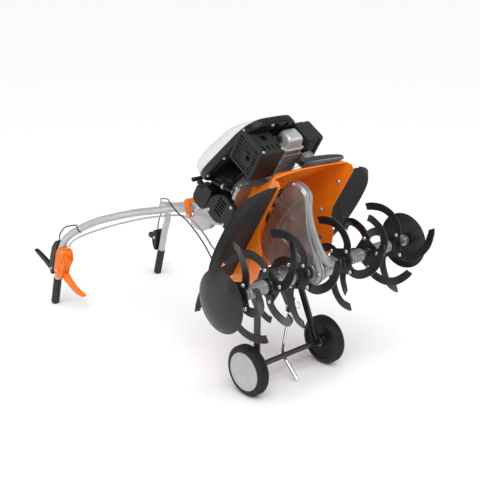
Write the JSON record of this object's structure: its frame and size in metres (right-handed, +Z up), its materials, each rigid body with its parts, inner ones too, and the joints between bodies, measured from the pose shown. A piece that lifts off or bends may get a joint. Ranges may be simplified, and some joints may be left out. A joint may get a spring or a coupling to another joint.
{
  "type": "garden tiller",
  "caption": "Walk-behind garden tiller tipped back on its transport wheels: engine over an open chassis, rotating tines, folding wheel carriage with drag spur, two-armed handlebar.",
  "frame": {"origin": "centre of the bounding box on the floor, with the machine tipped back on its wheels and grips", "axes": "+X to the right of someone looking along +Y from the tines, +Y towards the handlebar, +Z up"},
  "size_m": [0.868, 1.5369, 0.9079],
  "materials": {
    "orange_paint": "semi-gloss orange powder coat",
    "dark_plastic": "textured dark grey moulding",
    "black_plastic": "satin black moulding",
    "gloss_black": "gloss black moulding",
    "white_plastic": "gloss white moulding",
    "orange_plastic": "orange moulding",
    "black_steel": "satin black paint on steel",
    "tine_steel": "dark satin coated spring steel",
    "cast_aluminium": "as cast, slightly satin",
    "bright_steel": "zinc plated or machined",
    "chrome": "polished plating",
    "silver_paint": "silver paint on tube",
    "rubber": "soft matt black",
    "tyre": "matt black",
    "hubcap_grey": "light grey moulding",
    "cable_grey": "grey cable sheath"
  },
  "bodies": {
    "chassis": {"air_filter_box": "dark_plastic", "blower_housing": "black_plastic", "carburettor": "cast_aluminium", "chassis_shell": "orange_paint", "clutch_cable_end": "cable_grey", "crankcase": "cast_aluminium", "cylinder": "cast_aluminium", "drive_belt": "rubber", "drive_chain": "black_steel", "engine_base": "cast_aluminium", "engine_hood": "white_plastic", "fender_left": "dark_plastic", "fender_right": "dark_plastic", "fuel_tank": "black_plastic", "gear_case_left": "cast_aluminium", "gear_case_right": "cast_aluminium", "handlebar_bracket": "silver_paint", "muffler": "bright_steel", "muffler_guard": "dark_plastic", "nose_cover": "gloss_black", "oil_filler_tube": "black_plastic", "rear_fairing": "black_plastic", "throttle_cable_end": "black_plastic", "valve_cover": "cast_aluminium"},
    "tine_rotor": {"tine_shaft": "bright_steel", "coupling_left": "bright_steel", "coupling_right": "bright_steel", "tine_star_1": "tine_steel", "tine_star_2": "tine_steel", "tine_star_3": "tine_steel", "tine_star_4": "tine_steel", "tine_star_5": "tine_steel", "tine_star_6": "tine_steel", "side_disc_left": "tine_steel", "side_disc_right": "tine_steel"},
    "countershaft": {"worm_wheel": "bright_steel"},
    "input_shaft": {"driven_pulley": "bright_steel"},
    "crank": {"crankshaft": "bright_steel", "flywheel": "cast_aluminium"},
    "wheel_carriage": {"wheel_carriage": "black_steel"},
    "drag_spur": {"drag_spur": "chrome"},
    "wheel_left": {"tyre_left": "tyre", "rim_left": "hubcap_grey"},
    "wheel_right": {"tyre_right": "tyre", "rim_right": "hubcap_grey"},
    "handlebar": {"handlebar": "silver_paint", "handlebar_clamp": "orange_plastic", "grip_left": "rubber", "grip_right": "rubber", "lever_housing": "orange_plastic", "switch_housing": "black_plastic", "throttle_body": "black_plastic", "clutch_cable": "cable_grey", "throttle_cable": "black_plastic", "switch_wire": "black_plastic"},
    "clutch_lever": {"clutch_lever": "orange_plastic"},
    "stop_lever": {"stop_lever": "black_plastic"},
    "throttle_lever": {"throttle_lever": "black_plastic"},
    "starter_grip": {"starter_grip": "black_plastic"},
    "fuel_cap": {"fuel_cap": "black_plastic"}
  },
  "joints": [
    {"name": "tine_spin", "type": "hinge", "parent": "chassis", "child": "tine_rotor", "pos_m": [0, -0.6134, 0.4405], "axis": [1, 0, 0], "continuous": true},
    {"name": "countershaft_spin", "type": "hinge", "parent": "chassis", "child": "countershaft", "pos_m": [0, -0.53885, 0.64803], "axis": [1, 0, 0], "continuous": true},
    {"name": "input_spin", "type": "hinge", "parent": "chassis", "child": "input_shaft", "pos_m": [-0.0375, -0.44845, 0.64596], "axis": [0, 0.8526, 0.5225], "continuous": true},
    {"name": "crank_spin", "type": "hinge", "parent": "chassis", "child": "crank", "pos_m": [0, -0.24484, 0.6429], "axis": [0, 0.8526, 0.5225], "continuous": true},
    {"name": "carriage_fold", "type": "hinge", "parent": "chassis", "child": "wheel_carriage", "pos_m": [0, -0.41134, 0.38254], "axis": [1, 0, 0], "range_deg": [0, 70]},
    {"name": "spur_slide", "type": "slide", "parent": "wheel_carriage", "child": "drag_spur", "axis": [0, 0.1994, -0.9799], "range_m": [-0.01, 0]},
    {"name": "wheel_left_spin", "type": "hinge", "parent": "wheel_carriage", "child": "wheel_left", "pos_m": [-0.181, -0.4731, 0.0876], "axis": [1, 0, 0], "continuous": true},
    {"name": "wheel_right_spin", "type": "hinge", "parent": "wheel_carriage", "child": "wheel_right", "pos_m": [0.181, -0.4731, 0.0876], "axis": [1, 0, 0], "continuous": true},
    {"name": "handlebar_pitch", "type": "hinge", "parent": "chassis", "child": "handlebar", "pos_m": [0, -0.01547, 0.50784], "axis": [1, 0, 0], "range_deg": [-12, 12]},
    {"name": "clutch_lever_pull", "type": "hinge", "parent": "handlebar", "child": "clutch_lever", "pos_m": [-0.263, 0.5449, 0.141], "axis": [1, 0, 0], "range_deg": [0, 38], "stiffness_Nm_per_rad": 0.5, "springref_deg": -40.11},
    {"name": "stop_lever_press", "type": "hinge", "parent": "handlebar", "child": "stop_lever", "pos_m": [-0.263, 0.6449, 0.158], "axis": [-1, 0, 0], "range_deg": [0, 38], "stiffness_Nm_per_rad": 0.4, "springref_deg": -34.38},
    {"name": "throttle_turn", "type": "hinge", "parent": "handlebar", "child": "throttle_lever", "pos_m": [0.263, 0.6461, 0.1682], "axis": [1, 0, 0], "range_deg": [-22, 22]},
    {"name": "starter_pull", "type": "slide", "parent": "chassis", "child": "starter_grip", "axis": [-0.3004, 0.9456, -0.1251], "range_m": [0, 0.25], "stiffness_N_per_m": 20, "springref_m": -0.4},
    {"name": "fuel_cap_turn", "type": "hinge", "parent": "chassis", "child": "fuel_cap", "pos_m": [-0.06, -0.11786, 0.6175], "axis": [0, 0.8526, 0.5225], "range_deg": [0, 90]}
  ],
  "couplings": [
    {"joint": "countershaft_spin", "follows": "tine_spin", "ratio": 1.4444},
    {"joint": "input_spin", "follows": "tine_spin", "ratio": 10.833}
  ]
}
